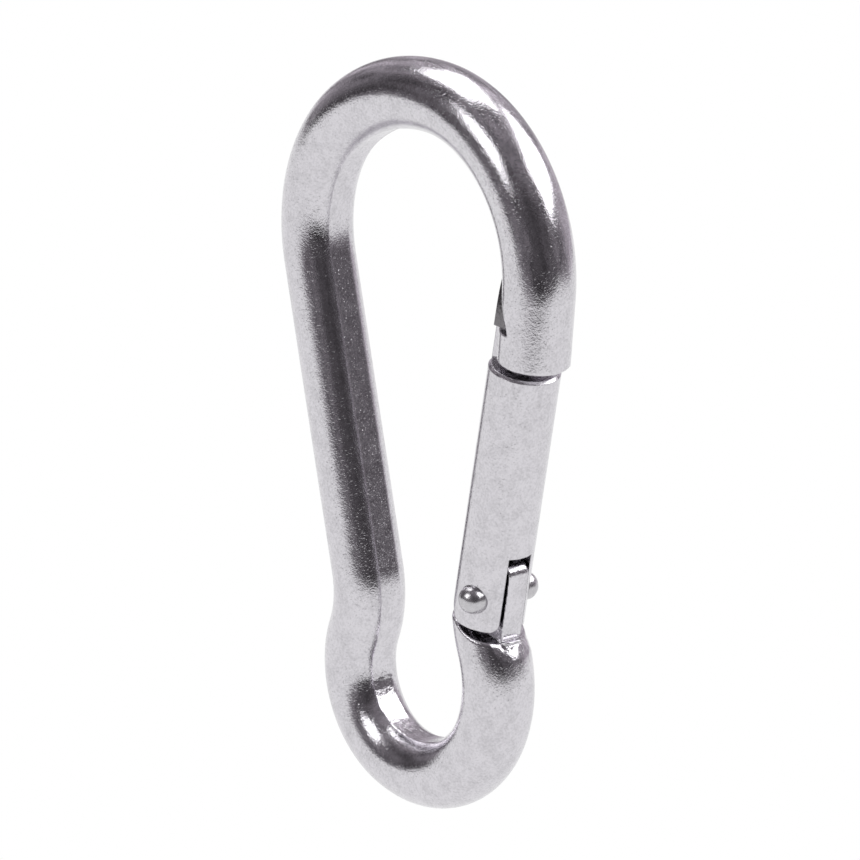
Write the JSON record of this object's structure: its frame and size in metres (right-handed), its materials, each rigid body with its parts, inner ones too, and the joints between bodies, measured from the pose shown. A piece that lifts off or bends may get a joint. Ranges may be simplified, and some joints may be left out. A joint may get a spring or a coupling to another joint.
{
  "type": "carbine snap hook",
  "caption": "Spring-gate carbine hook bent from round stainless bar, with a large bow, a small eye and a riveted gate that closes on a T-head.",
  "frame": {"origin": "centre of the whole hook's bounding box", "axes": "+Z from the small eye to the big bow, +X from the back of the hook to the gate, Y along the hinge rivet"},
  "size_m": [0.0638, 0.0148, 0.1204],
  "materials": {
    "cast_stainless": "tumbled satin stainless steel",
    "spring_stainless": "drawn spring wire",
    "pin_stainless": "turned and peened stainless steel"
  },
  "bodies": {
    "hook": {"hook_body": "cast_stainless"},
    "gate": {"gate": "cast_stainless", "hinge_rivet": "pin_stainless", "gate_spring": "spring_stainless"},
    "plunger": {"spring_plunger": "pin_stainless"}
  },
  "joints": [
    {"name": "gate_swing", "type": "hinge", "parent": "hook", "child": "gate", "pos_m": [0.01707, 0, -0.02092], "axis": [0, -1, 0], "range_deg": [0, 35], "stiffness_Nm_per_rad": 0.0284, "springref_deg": -110.01},
    {"name": "plunger_slide", "type": "slide", "parent": "gate", "child": "plunger", "axis": [0.1977, 0, 0.9803], "range_m": [0, 0.0017], "deforming": ["gate_spring"]}
  ],
  "couplings": [
    {"joint": "plunger_slide", "follows": "gate_swing", "m_per_rad": 0.0026}
  ]
}
